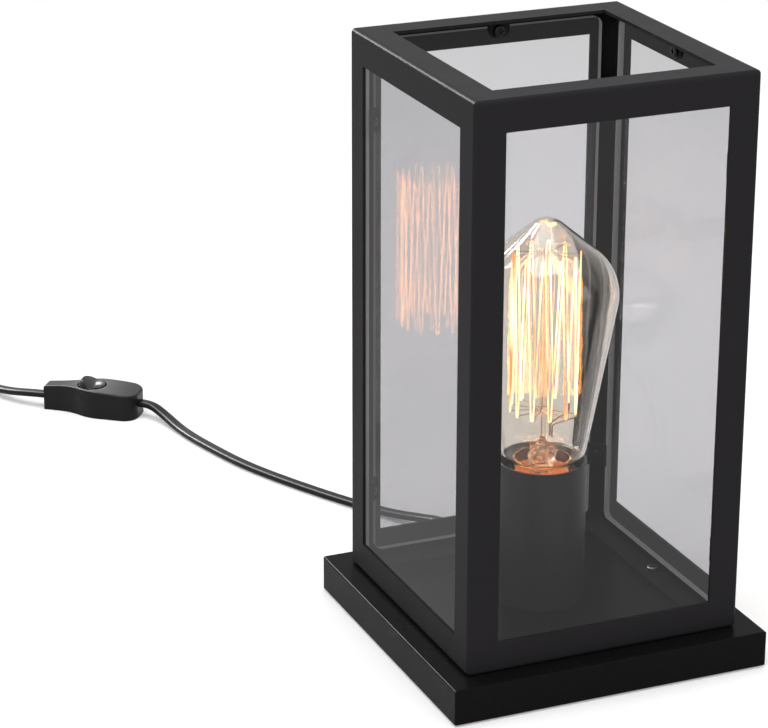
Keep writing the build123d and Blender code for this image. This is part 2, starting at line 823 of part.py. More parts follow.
filament_points = [polar(cage_radius, hook_step / 2, filament_low)]
for hook in range(1, filament_hooks + 1):
    filament_points.append(polar(cage_radius, hook * hook_step, filament_high + overshoot))
    filament_points.append(polar(cage_radius, (hook + 0.5) * hook_step, filament_low - overshoot))
filament_points[-1] = polar(cage_radius, (filament_hooks + 0.5) * hook_step, filament_low)

with BuildPart() as filament:
    with BuildLine() as filament_route:
        FilletPolyline(*filament_points, radius=[filament_bend] * (2 * filament_hooks - 1))
    with BuildSketch(Plane(origin=filament_route.line @ 0, z_dir=filament_route.line % 0)):
        Circle(filament_radius)
    sweep(path=filament_route.line)
save(filament, "filament")

with BuildPart() as supports:
    wire_end = cage_radius - filament_radius - support_play
    upper = [(hook * hook_step, filament_high - filament_bend) for hook in range(1, filament_hooks + 1)]
    lower = [((hook + 0.5) * hook_step, filament_low + filament_bend) for hook in range(1, filament_hooks)]
    for degrees, height in upper + lower:
        with BuildSketch(Plane(origin=polar(hub_radius, degrees, height), z_dir=polar(1, degrees, 0))):
            Circle(support_radius)
        extrude(amount=wire_end - hub_radius)
save(supports, "filament_supports")

with BuildPart() as bulb_leads:
    for degrees in (hook_step / 2, 360 - hook_step / 2):
        with BuildLine() as bulb_lead_route:
            FilletPolyline(
                polar(bulb_lead_spread, degrees, cap_rim + stem_top),
                polar(bulb_lead_spread, degrees, cap_rim + stem_press_top),
                polar(cage_radius, degrees, filament_low - 2 * bulb_lead_bend),
                polar(cage_radius, degrees, filament_low - support_play),
                radius=[bulb_lead_bend, bulb_lead_bend / 2],
            )
        with BuildSketch(Plane(origin=bulb_lead_route.line @ 0, z_dir=bulb_lead_route.line % 0)):
            Circle(bulb_lead_radius)
        sweep(path=bulb_lead_route.line)
save(bulb_leads, "bulb_lead_wires")

# In-line switch, drawn along its own length from the end that faces the lamp
along = polar(1, switch_heading, 0)
across = polar(1, switch_heading + 90, 0)
switch_foot = Vector(switch_origin[0], switch_origin[1], 0)


def switch_plane(z):
    return Plane(origin=switch_foot + Vector(0, 0, z), x_dir=along, z_dir=(0, 0, 1))


def switch_side_plane():
    return Plane(origin=switch_foot, x_dir=along, z_dir=Vector(across) * -1)


def switch_outline():
    # broad towards the lamp, drawn in by a reverse curve to a narrow end
    drop = switch_belly_half - switch_end_half
    run = switch_neck - switch_belly
    reverse_bend = (run ** 2 + drop ** 2) / (2 * drop) - switch_belly_bend
    share = switch_belly_bend / (switch_belly_bend + reverse_bend)
    change = (switch_belly + run * share, switch_belly_half - drop * share)
    with BuildLine() as outline:
        Polyline((0, 0), (0, switch_belly_half), (switch_belly, switch_belly_half))
        belly_arc = TangentArc((switch_belly, switch_belly_half), change, tangent=(1, 0))
        TangentArc(change, (switch_neck, switch_end_half), tangent=belly_arc % 1)
        Polyline((switch_neck, switch_end_half), (switch_length, switch_end_half), (switch_length, 0))
        mirror(about=Plane.XZ)
    with BuildSketch() as plan:
        add(outline.line)
        make_face()
        ends = plan.vertices().group_by(Axis.X)
        fillet(ends[0], switch_corner_radius)
        fillet(ends[-1], switch_edge_radius)
    return plan.sketch


with BuildPart() as switch_block:
    with BuildSketch(switch_plane(0)):
        add(switch_outline())
    extrude(amount=switch_crown_height)
    with BuildSketch(switch_side_plane()):
        with BuildLine():
            Line((0, 0), (0, switch_end_height))
            ThreePointArc((0, switch_end_height), (switch_length / 2, switch_crown_height),
                          (switch_length, switch_end_height))
            Line((switch_length, switch_end_height), (switch_length, 0))
            Line((switch_length, 0), (0, 0))
        make_face()
    extrude(amount=2 * switch_belly_half, both=True, mode=Mode.INTERSECT)
    fillet(switch_block.faces().sort_by(Axis.Z)[-1].edges(), switch_edge_radius)

with BuildPart() as switch_hollow:
    with BuildSketch(switch_plane(switch_wall)):
        add(switch_outline())
        offset(amount=-switch_wall, mode=Mode.REPLACE)
    extrude(amount=switch_end_height - 2 * switch_wall)

screw_places = [(switch_screw_place[0], switch_screw_place[1]), (switch_screw_place[0], -switch_screw_place[1])]
screw_seat = switch_screw_head_height + switch_screw_sink
well_radius = rocker_radius + rocker_well_play

with BuildPart() as switch_base:
    add(switch_block.part)
    add(switch_hollow.part, mode=Mode.SUBTRACT)
    with BuildSketch(switch_plane(switch_wall)):
        with Locations(*screw_places):
            Circle(switch_boss_radius)
    extrude(amount=switch_parting - switch_wall)
    with BuildSketch(switch_plane(0)):
        with Locations(*screw_places):
            Circle(switch_screw_radius + nipple_play)
    extrude(amount=switch_parting, mode=Mode.SUBTRACT)
    with BuildSketch(switch_plane(0)):
        with Locations(*screw_places):
            Circle(switch_screw_head_radius + nipple_play)
    extrude(amount=screw_seat, mode=Mode.SUBTRACT)
    split(bisect_by=switch_plane(switch_parting), keep=Keep.BOTTOM)
save(switch_base, "switch_base")

pivot = Vector(switch_plane(rocker_pivot_height).from_local_coords(Vector(rocker_place, 0, 0)))
pin_plane = Plane(origin=pivot, x_dir=along, z_dir=across)
pin_half = well_radius + rocker_pin_hold

with BuildPart() as switch_cover:
    add(switch_block.part)
    add(switch_hollow.part, mode=Mode.SUBTRACT)
    with BuildSketch(switch_plane(switch_parting)):
        with Locations(*screw_places):
            Circle(switch_boss_radius)
    extrude(amount=switch_end_height - switch_wall - switch_parting)
    with BuildSketch(switch_plane(switch_parting + switch_wall)):
        with Locations((rocker_place, 0)):
            Circle(well_radius + switch_wall)
    extrude(amount=switch_end_height - 2 * switch_wall - switch_parting)
    with BuildSketch(switch_plane(switch_parting)):
        with Locations((rocker_place, 0)):
            Circle(well_radius)
    extrude(amount=switch_crown_height, mode=Mode.SUBTRACT)
    with BuildSketch(switch_plane(switch_parting)):
        with Locations(*screw_places):
            Circle(switch_screw_radius + nipple_play)
    extrude(amount=switch_screw_length + screw_seat - switch_parting, mode=Mode.SUBTRACT)
    with BuildSketch(pin_plane):
        Circle(rocker_pin_radius + rocker_pin_play)
    extrude(amount=pin_half, both=True, mode=Mode.SUBTRACT)
    split(bisect_by=switch_plane(switch_parting), keep=Keep.TOP)
save(switch_cover, "switch_cover")

with BuildPart() as rocker_pin:
    with BuildSketch(pin_plane):
        Circle(rocker_pin_radius)
    extrude(amount=pin_half - nipple_play, both=True)
save(rocker_pin, "rocker_pin")

# Rocker: round barrel with a dished face, tilted so that the half towards the lamp lies level
tilt = math.radians(rocker_swing / 2)
rocker_along = Vector(along) * math.cos(tilt) + Vector(0, 0, math.sin(tilt))
rocker_plane = Plane(origin=pivot, x_dir=rocker_along, z_dir=Vector(across) * -1)
rise = math.tan(tilt) * rocker_radius
with BuildPart() as rocker:
    with Locations(pivot):
        Sphere(rocker_radius)
    with BuildSketch(rocker_plane):
        with BuildLine():
            Polyline(
                (-rocker_radius, -rocker_depth),
                (rocker_radius, -rocker_depth),
                (rocker_radius, rocker_face + rise),
                (0, rocker_face),
                (-rocker_radius, rocker_face + rise),
                close=True,
            )
        make_face()
    extrude(amount=rocker_radius, both=True, mode=Mode.INTERSECT)
    with BuildSketch(pin_plane):
        Circle(rocker_pin_radius + rocker_pin_play)
    extrude(amount=rocker_radius, both=True, mode=Mode.SUBTRACT)
save(rocker, "switch_rocker")

switch_seats = [
    Plane(origin=switch_plane(screw_seat).from_local_coords(Vector(x, y, 0)), z_dir=(0, 0, -1))
    for x, y in screw_places
]
save(screws(switch_seats, switch_screw_head_radius, switch_screw_head_height,
            switch_screw_radius, switch_screw_length - nipple_play), "switch_screws")

with BuildPart() as switch_contacts:
    contact_middle = switch_contact_gap / 2 + switch_contact_length / 2
    with BuildSketch(switch_plane(switch_wall)):
        with Locations((rocker_place - contact_middle, 0), (rocker_place + contact_middle, 0)):
            Rectangle(switch_contact_length, switch_contact_width)
    extrude(amount=switch_contact_sheet)
    with BuildSketch(switch_plane(switch_wall)):
        with Locations((rocker_place - contact_middle, 0), (rocker_place + contact_middle, 0)):
            Rectangle(switch_contact_width, switch_contact_width)
    extrude(amount=switch_parting - 2 * switch_wall)
save(switch_contacts, "switch_contacts")


# Free cord: flat section along straight runs and the largest tangent arcs that they allow
def corner_radii(points):
    radii = []
    for before, at, after in zip(points, points[1:], points[2:]):
        run_in = Vector(at) - Vector(before)
        run_out = Vector(after) - Vector(at)
        half_turn = math.radians(run_in.get_angle(run_out)) / 2
        radii.append(0.45 * min(run_in.length, run_out.length) / math.tan(half_turn))
    return radii


def section_plane(line):
    direction = line % 0
    level = Vector(direction.Y, -direction.X, 0)
    return Plane(origin=line @ 0, x_dir=level, z_dir=direction)


switch_near = switch_plane(switch_parting).from_local_coords(Vector(0, 0, 0))
switch_far = switch_plane(switch_parting).from_local_coords(Vector(switch_length, 0, 0))
bush_mouth = Vector(0, bush_end, cord_exit_height)
coil_mouth = Vector(coil_start[0], coil_start[1] - cord_width, coil_bed + cord_rest)
lead_in = Vector(0, cord_straight, 0)
switch_run = Vector(along) * cord_straight
switch_turn = switch_near - Vector(along) * cord_switch_run
lamp_points = [bush_mouth, bush_mouth + lead_in, *lamp_route, switch_turn, switch_near]
coil_turn = coil_mouth - Vector(0, cord_coil_run, 0)
plug_points = [switch_far, switch_far + switch_run, *plug_route, coil_turn, coil_mouth]
for name, points in (("cord_lamp_side", lamp_points), ("cord_plug_side", plug_points)):
    radii = corner_radii(points)
    with BuildPart() as cord:
        with BuildLine() as cord_route:
            FilletPolyline(*points, radius=radii)
        with BuildSketch(section_plane(cord_route.line)) as cord_section:
            SlotOverall(cord_width, cord_thickness)
        sweep(path=cord_route.line)
    save(cord, name)
    swept = cord_section.sketch.area * cord_route.wire().length
    print(name, "length", round(cord_route.wire().length, 1), "volume over section times length",
          round(cord.part.volume / swept, 4), "radii", [round(radius, 1) for radius in radii])

# Put-away coil: spirals in on the table, climbs in half a turn, spirals out on top
coil_low = coil_bed + cord_rest
coil_inner = coil_throat + coil_ease
coil_outer = coil_inner + coil_turns * coil_pitch
coil_end = 2 * coil_turns + 0.5
coil_centre = Vector(coil_start[0] - coil_outer, coil_start[1], 0)
coil_lead = cord_width


def smooth(share):
    share = min(max(share, 0), 1)
    return share * share * (3 - 2 * share)


def coil_point(turn):
    # turns counted from the coil's start: in to coil_turns, climbing half a turn, then out
    outside = max(coil_turns - turn, turn - coil_turns - 0.5, 0)
    radius = coil_throat + coil_ease * smooth(2 * outside) + coil_pitch * outside
    climb = smooth(2 * (turn - coil_turns))
    height = coil_low + climb * (plug_half_thickness - coil_low)
    return coil_centre + Vector(polar(radius, 360 * turn, height))


def coil_heading(turn, step=0.02):
    return (coil_point(turn + step) - coil_point(turn - step)).normalized()


def biarc(start, start_way, end, end_way):
    # two arcs that leave the start and reach the end along the given ways
    span = end - start
    ways = start_way + end_way
    bend = 2 * (1 - start_way.dot(end_way))
    reach = (math.sqrt(span.dot(ways) ** 2 + bend * span.dot(span)) - span.dot(ways)) / bend
    first = start + start_way * reach
    last = end - end_way * reach
    middle = (first + last) / 2
    TangentArc(start, middle, tangent=start_way)
    TangentArc(middle, end, tangent=last - first)


entry_way = Vector(0, 1, 0)
exit_way = Vector(0, -1, 0)
quarters = [index / 4 for index in range(int(4 * coil_end) + 1)]
places = [coil_point(turn) for turn in quarters]
ways = [coil_heading(turn) for turn in quarters]
ways[0] = entry_way
ways[-1] = exit_way

with BuildPart() as cord_coil:
    with BuildLine() as coil_route:
        Line(places[0] - entry_way * coil_lead, places[0])
        for index in range(len(places) - 1):
            biarc(places[index], ways[index], places[index + 1], ways[index + 1])
        Line(places[-1], places[-1] + exit_way * coil_lead)
    with BuildSketch(section_plane(coil_route.line)):
        SlotOverall(cord_width, cord_thickness)
    sweep(path=coil_route.line)
save(cord_coil, "cord_coil")

samples = [coil_end * index / 780 for index in range(781)]
sampled = [coil_point(turn) for turn in samples]
least_gap = min(
    max(math.hypot(far.X - near.X, far.Y - near.Y) - cord_width, abs(far.Z - near.Z) - cord_thickness)
    for first, near in zip(samples, sampled)
    for second, far in zip(samples, sampled)
    if second - first > 0.5
)
print("coil length", round(coil_route.wire().length, 1), "least gap to itself", round(least_gap, 2),
      "middle of turns across", round(coil_throat + coil_outer, 1))

# Tie round the coil's bundle, a quarter turn from its start
with BuildPart() as coil_tie:
    tie_low = coil_low - cord_rest - tie_play
    tie_high = plug_half_thickness + cord_rest + tie_play
    tie_inner = coil_throat - cord_width / 2 - tie_play
    tie_outer = coil_outer - coil_pitch / 4 + cord_width / 2 + tie_play
    with BuildSketch(Plane(origin=coil_centre, x_dir=(0, 1, 0), z_dir=(1, 0, 0))):
        with Locations(((tie_inner + tie_outer) / 2, (tie_low + tie_high) / 2)):
            Rectangle(tie_outer - tie_inner + 2 * tie_sheet, tie_high - tie_low + 2 * tie_sheet)
            Rectangle(tie_outer - tie_inner, tie_high - tie_low, mode=Mode.SUBTRACT)
    extrude(amount=tie_width / 2, both=True)
save(coil_tie, "coil_tie")

# Two-pin plug, lying flat with its pins towards -Y
plug_start = places[-1] + exit_way * coil_lead


def plug_plane(distance):
    return Plane(origin=plug_start + exit_way * distance, x_dir=(1, 0, 0), z_dir=exit_way)


plug_face = plug_boot_length + plug_body_length
with BuildPart() as plug_body:
    with BuildSketch(plug_plane(0)):
        SlotOverall(plug_boot_tip_width, plug_boot_tip_thickness)
    with BuildSketch(plug_plane(plug_boot_length)):
        SlotOverall(plug_boot_root_width, plug_boot_root_thickness)
    loft()
    with BuildSketch(plug_plane(plug_boot_length)):
        RectangleRounded(plug_neck_width, plug_neck_thickness, plug_corner_radius)
    with BuildSketch(plug_plane(plug_face)):
        RectangleRounded(plug_width, 2 * plug_half_thickness, plug_corner_radius)
    loft()
    with BuildSketch(plug_plane(plug_face)):
        with GridLocations(pin_spacing, 1, 2, 1):
            Circle(pin_core_radius + pin_play)
    extrude(amount=-pin_root, mode=Mode.SUBTRACT)
save(plug_body, "plug_body")

with BuildPart() as plug_pins:
    with BuildSketch(plug_plane(plug_face - pin_root)):
        with GridLocations(pin_spacing, 1, 2, 1):
            Circle(pin_core_radius)
    extrude(amount=pin_root + pin_sleeve_length)
    with BuildSketch(plug_plane(plug_face + pin_sleeve_length)):
        with GridLocations(pin_spacing, 1, 2, 1):
            Circle(pin_radius)
    extrude(amount=pin_length - pin_sleeve_length)
    fillet(plug_pins.faces().sort_by(Axis.Y)[:2].edges(), pin_tip_radius)
save(plug_pins, "plug_pins")

with BuildPart() as pin_sleeves:
    with BuildSketch(plug_plane(plug_face)):
        with GridLocations(pin_spacing, 1, 2, 1):
            Circle(pin_radius)
            Circle(pin_core_radius + pin_play, mode=Mode.SUBTRACT)
    extrude(amount=pin_sleeve_length)
save(pin_sleeves, "pin_sleeves")
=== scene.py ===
import json
import math

import bpy
from mathutils import Matrix, Vector


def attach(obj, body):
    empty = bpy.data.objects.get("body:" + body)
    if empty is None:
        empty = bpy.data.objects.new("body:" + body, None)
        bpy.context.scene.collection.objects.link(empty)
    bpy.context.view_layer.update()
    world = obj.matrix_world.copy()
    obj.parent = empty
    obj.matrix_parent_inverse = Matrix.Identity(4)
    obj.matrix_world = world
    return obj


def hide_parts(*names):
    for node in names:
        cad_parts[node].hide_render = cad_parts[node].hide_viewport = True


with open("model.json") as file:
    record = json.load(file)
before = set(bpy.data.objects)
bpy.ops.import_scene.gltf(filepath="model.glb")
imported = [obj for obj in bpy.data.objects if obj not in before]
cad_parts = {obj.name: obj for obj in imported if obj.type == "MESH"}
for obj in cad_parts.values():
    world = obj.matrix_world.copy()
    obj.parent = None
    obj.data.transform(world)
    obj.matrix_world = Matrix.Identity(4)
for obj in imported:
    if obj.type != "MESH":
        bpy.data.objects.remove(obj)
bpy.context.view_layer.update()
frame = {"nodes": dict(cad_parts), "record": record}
nodes = frame["nodes"]
scene = bpy.context.scene
scene.view_settings.view_transform = "Standard"
print("frame loaded:", len(nodes), "nodes")

# camera, at the photograph's viewing angle
shot = {
    "eye": (-0.54073, -1.09577, 0.58881),
    "azimuth": -22.97,
    "elevation": 20.72,
    "roll": 0.13,
    "lens": 139.36,
    "sensor": 36.0,
    "clipEnd": 20,
}


def placeCamera():
    turn, rise, roll = (math.radians(shot[key]) for key in ("azimuth", "elevation", "roll"))
    back = Vector((math.sin(turn) * math.cos(rise), -math.cos(turn) * math.cos(rise), math.sin(rise)))
    right = Vector((math.cos(turn), math.sin(turn), 0))
    up = back.cross(right)
    tilted = right * math.cos(roll) + up * math.sin(roll)
    upright = up * math.cos(roll) - right * math.sin(roll)
    data = bpy.data.cameras.new("photoCamera")
    data.sensor_fit = "HORIZONTAL"
    data.sensor_width = shot["sensor"]
    data.lens = shot["lens"]
    data.clip_end = shot["clipEnd"]
    camera = bpy.data.objects.new("photoCamera", data)
    scene.collection.objects.link(camera)
    turned = Matrix((tilted, upright, back)).transposed().to_4x4()
    camera.matrix_world = Matrix.Translation(shot["eye"]) @ turned
    scene.camera = camera


placeCamera()
print("camera placed")


# shader maths written as Python expressions
class Value:
    def __init__(self, finish, socket):
        self.finish = finish
        self.socket = socket

    def maths(self, operation, first, second):
        return self.finish.node("ShaderNodeMath", {"operation": operation}, {0: first, 1: second})

    def __add__(self, other):
        return self.maths("ADD", self, other)

    def __radd__(self, other):
        return self.maths("ADD", other, self)

    def __sub__(self, other):
        return self.maths("SUBTRACT", self, other)

    def __rsub__(self, other):
        return self.maths("SUBTRACT", other, self)

    def __mul__(self, other):
        return self.maths("MULTIPLY", self, other)

    def __pow__(self, other):
        return self.maths("POWER", self, other)

    def __abs__(self):
        return self.maths("ABSOLUTE", self, 0.0)

    def above(self, level):
        return self.maths("GREATER_THAN", self, level)

    def largest(self, other):
        return self.maths("MAXIMUM", self, other)


class Finish:
    def __init__(self, name, tree=None):
        if tree is None:
            self.material = bpy.data.materials.new(name)
            self.material.use_nodes = True
            tree = self.material.node_tree
        self.tree = tree
        self.tree.nodes.clear()

    def node(self, kind, settings=None, inputs=None, out=0):
        made = self.tree.nodes.new(kind)
        for key, value in (settings or {}).items():
            if key == "stops":
                for element, (place, colour) in zip(made.color_ramp.elements, value):
                    element.position = place
                    element.color = colour
            else:
                setattr(made, key, value)
        for key, value in (inputs or {}).items():
            if isinstance(value, Value):
                self.tree.links.new(value.socket, made.inputs[key])
            else:
                made.inputs[key].default_value = value
        return Value(self, made.outputs[out]) if made.outputs else None

    def place(self):
        return self.node("ShaderNodeTexCoord", out="Object")

    def along(self, axis):
        return self.node("ShaderNodeSeparateXYZ", None, {0: self.place()}, out=axis)

    def vector(self, operation, inputs):
        return self.node("ShaderNodeVectorMath", {"operation": operation}, inputs, out="Value")

    def noise(self, scale, detail=2.0, stretch=(1, 1, 1)):
        spot = self.node("ShaderNodeMapping", None, {"Vector": self.place(), "Scale": stretch})
        return self.node("ShaderNodeTexNoise", None, {"Vector": spot, "Scale": scale, "Detail": detail})

    def bump(self, height, strength, distance):
        inputs = {"Height": height, "Strength": strength, "Distance": distance}
        return self.node("ShaderNodeBump", None, inputs)

    def rise(self, value, low, high, kind="LINEAR"):  # from 0 at the low value to 1 at the high one
        inputs = {"Value": value, "From Min": low, "From Max": high}
        return self.node("ShaderNodeMapRange", {"interpolation_type": kind}, inputs)

    def colours(self, value, *stops):
        return self.node("ShaderNodeValToRGB", {"stops": stops}, {"Fac": value})

    def ray(self, kind):
        return self.node("ShaderNodeLightPath", out=kind)

    def anyRay(self, *kinds):  # 1 for a ray of any of these kinds
        found = 0.0
        for kind in kinds:
            found = self.ray(kind).largest(found)
        return found

    def clear(self, colour):
        return self.node("ShaderNodeBsdfTransparent", None, {"Color": colour})

    def glow(self, colour, strength):
        return self.node("ShaderNodeEmission", None, {"Color": colour, "Strength": strength})

    def blend(self, share, first, second):
        return self.node("ShaderNodeMixShader", None, {0: share, 1: first, 2: second})

    def principled(self, **inputs):
        named = {key.replace("_", " "): value for key, value in inputs.items()}
        return self.node("ShaderNodeBsdfPrincipled", None, named)

    def done(self, shader):
        self.node("ShaderNodeOutputMaterial", None, {"Surface": shader})
        return self.material


def tone(red, green, blue):
    return (red, green, blue, 1.0)


white = tone(1, 1, 1)

# satin powder coat with a fine orange peel
coat = {"cloud": 55, "uneven": 0.1, "peel": 1500, "depth": 0.00006}


def powderCoat(name, colour, rough, peel, shine):
    finish = Finish(name)
    cloud = finish.noise(coat["cloud"], detail=3.0)
    grain = finish.noise(coat["peel"], detail=1.0)
    return finish.done(finish.principled(
        Base_Color=colour,
        Roughness=rough - coat["uneven"] / 2 + cloud * coat["uneven"],
        Normal=finish.bump(grain, peel, coat["depth"]),
        Specular_IOR_Level=shine,
    ))


# moulded plastic or rubber, plain or with a fine grain
grainDepth = 0.00005


def moulded(name, colour, rough, grain=0.0, size=2200, shine=0.25):
    finish = Finish(name)
    inputs = {"Base_Color": colour, "Roughness": rough, "Specular_IOR_Level": shine}
    if grain:
        inputs["Normal"] = finish.bump(finish.noise(size, detail=1.0), grain, grainDepth)
    return finish.done(finish.principled(**inputs))


# bare metal, with streaks in its gloss where it is plated
streaks = {"size": 900, "stretch": (1, 1, 0.15)}


def metal(name, colour, rough, streak=0.0):
    finish = Finish(name)
    inputs = {"Base_Color": colour, "Metallic": 1.0, "Roughness": rough}
    if streak:
        inputs["Roughness"] = rough + finish.noise(streaks["size"], stretch=streaks["stretch"]) * streak
    return finish.done(finish.principled(**inputs))


# flat float glass: clearer from outside than from inside, the greyer tone from inside being painted shade,
# and greyer at a slant; from outside its mirror image of the white room is a painted reflection, an even
# emitted glow; from inside it is a mirror at the bulb's height, with a painted veil of glow past it; the
# ground edges are pale, with a painted glow
pane = {
    "inside": (0.78, 0.73),  # how much comes through, straight on and at a slant
    "outside": (0.972, 0.726),
    "cool": 0.004,
    "shine": {"inside": 0.03, "outside": 0.016, "slant": 0.25, "power": 5},
    "image": tone(0.95, 0.95, 0.95),
    "paintedVeilGlow": 0.4,  # the painted veil from inside, an emitted glow in place of a reflection, past the mirror's band
    "band": {"middle": 0.1475, "full": 0.075, "gone": 0.09},
    # the ground edges: grey, with a painted glow as if lit from within the pane
    "edge": {"colour": tone(0.2, 0.205, 0.205), "rough": 0.25, "glow": 0.07},
}


def paneGlass(name, outward):
    finish = Finish(name)
    finish.material.cycles.emission_sampling = "NONE"
    normal = finish.node("ShaderNodeNewGeometry", out="Normal")
    lie = finish.vector("DOT_PRODUCT", {0: normal, 1: outward})
    outside = lie.above(0.0)
    slant = finish.node("ShaderNodeLayerWeight", None, {"Blend": 0.5}, out="Facing")

    def greys(straight, slanted):
        first, second = (finish.clear(tone(level, level - pane["cool"], level + pane["cool"]))
                         for level in (straight, slanted))
        return finish.blend(slant, first, second)

    shine, band, edge = pane["shine"], pane["band"], pane["edge"]
    mirror = finish.node("ShaderNodeBsdfGlossy", None, {"Color": pane["image"], "Roughness": 0.0})
    # inside: a true mirror at the bulb's height, past that band a painted veil of emitted glow; outside: a
    # painted reflection, an even emitted white glow
    past = finish.rise(abs(finish.along("Z") - band["middle"]), band["full"], band["gone"])
    inner = finish.blend(past, mirror, finish.glow(pane["image"], pane["paintedVeilGlow"]))
    image = finish.blend(outside, inner, finish.glow(pane["image"], 1.0))
    through = finish.blend(outside, greys(*pane["inside"]), greys(*pane["outside"]))
    share = (shine["inside"] - outside * (shine["inside"] - shine["outside"])
             + slant ** shine["power"] * shine["slant"])
    # the ground edges, where the pane is seen edge-on: grey with a painted glow
    ground = finish.principled(Base_Color=edge["colour"], Roughness=edge["rough"],
                               Emission_Color=pane["image"], Emission_Strength=edge["glow"])
    return finish.done(finish.blend(lie * lie, ground, finish.blend(share, through, image)))


# blown glass, clear with a faint amber, under a light shadow
def blownGlass(name, colour, shade):
    finish = Finish(name)
    glass = finish.principled(Base_Color=colour, Roughness=0.0, IOR=1.45, Transmission_Weight=1.0)
    return finish.done(finish.blend(finish.ray("Is Shadow Ray"), glass, finish.clear(shade)))


# glowing wire, orange with stretches that are nearly white: bright where it is seen; where a pane mirrors
# it, a painted reflection, brighter and more orange; and with little light for the rest
glowing = {
    "heat": 60,
    "stretch": (1, 1, 0.35),
    "warmTo": 0.38,
    "hotFrom": 0.62,
    "cold": tone(0.1, 0.05, 0.02),
    "image": tone(1.0, 0.36, 0.06),
}


def hotWire(name, warm, hot, strength, paintedMirrorStrength, spill):
    finish = Finish(name)

    def lit(colour, level):
        return finish.principled(Base_Color=glowing["cold"], Emission_Color=colour, Emission_Strength=level)

    heat = finish.noise(glowing["heat"], stretch=glowing["stretch"])
    shade = finish.colours(heat, (glowing["warmTo"], warm), (glowing["hotFrom"], hot))
    bounced = finish.ray("Glossy Depth")
    # seen in a pane's mirror it is a painted reflection, with a stronger orange glow of its own
    shown = finish.blend(bounced, lit(shade, strength), lit(glowing["image"], paintedMirrorStrength))
    straight = finish.anyRay("Is Camera Ray", "Is Transmission Ray", "Is Singular Ray")
    return finish.done(finish.blend(straight, lit(warm, spill), shown))


# baked cement, brown, with painted light: it glows as if lit by the filament above, brown in the middle
# and bright orange along its rim, though it is no lamp
baked = {"rough": 0.6, "brownTo": 0.88, "paintedRimGlowFrom": 0.97}


def paintedGlowCement(name, colour, rim, radius, strength):
    finish = Finish(name)
    x, y = finish.along("X"), finish.along("Y")
    share = (x * x + y * y) ** 0.5 * (1 / radius)
    shade = finish.colours(share, (baked["brownTo"], colour), (baked["paintedRimGlowFrom"], rim))
    return finish.done(finish.principled(
        Base_Color=colour, Roughness=baked["rough"], Emission_Color=shade, Emission_Strength=strength,
    ))


# one black powder coat in several tones: the base's darker tone is painted shade and the tube's lighter
# tone is painted light; the clips are the darkest
finishes = {
    "frame_paint": powderCoat(
        "blackSatinFrame", tone(0.0185, 0.0172, 0.0188), rough=0.36, peel=0.1, shine=0.017),
    "base_paint": powderCoat(
        "blackSatinBasePaintedShade", tone(0.006, 0.0056, 0.0062), rough=0.28, peel=0.06, shine=0.027),
    "tube_paint": powderCoat(
        "blackSatinTubePaintedLight", tone(0.032, 0.0313, 0.0335), rough=0.42, peel=0.05, shine=0.2),
    "clip_paint": powderCoat(
        "blackSatinClips", tone(0.004, 0.004, 0.0044), rough=0.5, peel=0.1, shine=0.14),
    "black_screw": metal("blackenedSteel", tone(0.03, 0.03, 0.032), rough=0.4),
    "bright_screw": metal("zincPlate", tone(0.09, 0.09, 0.088), rough=0.3, streak=0.1),
    "bulb_clear": blownGlass("bulbGlass", tone(0.985, 0.945, 0.865), shade=tone(0.95, 0.9, 0.82)),
    # the stem's deeper amber is partly painted light: it stands in for golden glints of the filament's
    # light
    "stem_clear": blownGlass("stemGlassPaintedGlints", tone(0.98, 0.86, 0.7), shade=tone(0.95, 0.9, 0.84)),
    "brass": metal("brightBrass", tone(0.83, 0.6, 0.25), rough=0.25, streak=0.08),
    "solder": metal("solderTip", tone(0.6, 0.6, 0.6), rough=0.4),
    "cap_black": moulded("blackVitrite", tone(0.01, 0.01, 0.012), rough=0.15),
    # the cement's glow is painted light from the filament
    "cement": paintedGlowCement(
        "paintedGlowCement", tone(0.3, 0.062, 0.008), rim=tone(1.0, 0.38, 0.07), radius=0.0125, strength=0.7),
    "tungsten": hotWire(
        "hotTungsten", warm=tone(0.34, 0.1, 0.018), hot=tone(1.0, 0.72, 0.4),
        strength=4.0, paintedMirrorStrength=24.0, spill=1.0),
    "wire": metal("drawnWire", tone(0.4, 0.27, 0.17), rough=0.35),
    "holder_black": moulded("holderMoulding", tone(0.012, 0.012, 0.013), rough=0.5, grain=0.2),
    "cord_black": moulded(
        "cordSheath", tone(0.0035, 0.0035, 0.004), rough=0.36, grain=0.1, size=1500, shine=0.15),
    "lead_brown": moulded("brownLead", tone(0.16, 0.07, 0.035), rough=0.4),
    "lead_blue": moulded("blueLead", tone(0.05, 0.11, 0.38), rough=0.4),
    "switch_black": moulded(
        "switchMoulding", tone(0.003, 0.003, 0.0037), rough=0.36, grain=0.15, shine=0.17),
    "rocker_black": moulded("rockerMoulding", tone(0.003, 0.003, 0.0035), rough=0.12, shine=0.26),
    "pin_steel": metal("nickelPlate", tone(0.75, 0.73, 0.69), rough=0.2, streak=0.08),
    "plug_black": moulded("plugMoulding", tone(0.009, 0.009, 0.0102), rough=0.45, grain=0.3),
    "tie_black": moulded("tieCoating", tone(0.008, 0.008, 0.008), rough=0.45),
    "foot_rubber": moulded("footRubber", tone(0.012, 0.012, 0.012), rough=0.8, grain=0.3),
}
paneFinishes = {
    "glass_front": paneGlass("paneGlassFront", outward=(0, -1, 0)),
    "glass_left": paneGlass("paneGlassLeft", outward=(-1, 0, 0)),
    "glass_back": paneGlass("paneGlassBack", outward=(0, 1, 0)),
    "glass_right": paneGlass("paneGlassRight", outward=(1, 0, 0)),
}


def dress(thing, finish):
    if not thing.material_slots:
        thing.data.materials.append(finish)
    for slot in thing.material_slots:
        slot.material = finish


slotOf = {entry["node"]: entry["material_slot"] for entry in frame["record"]["subparts"]}
for name, node in nodes.items():
    dress(node, paneFinishes.get(name) or finishes[slotOf[name]])
print("finishes on the CAD nodes:", len(finishes) + len(paneFinishes))


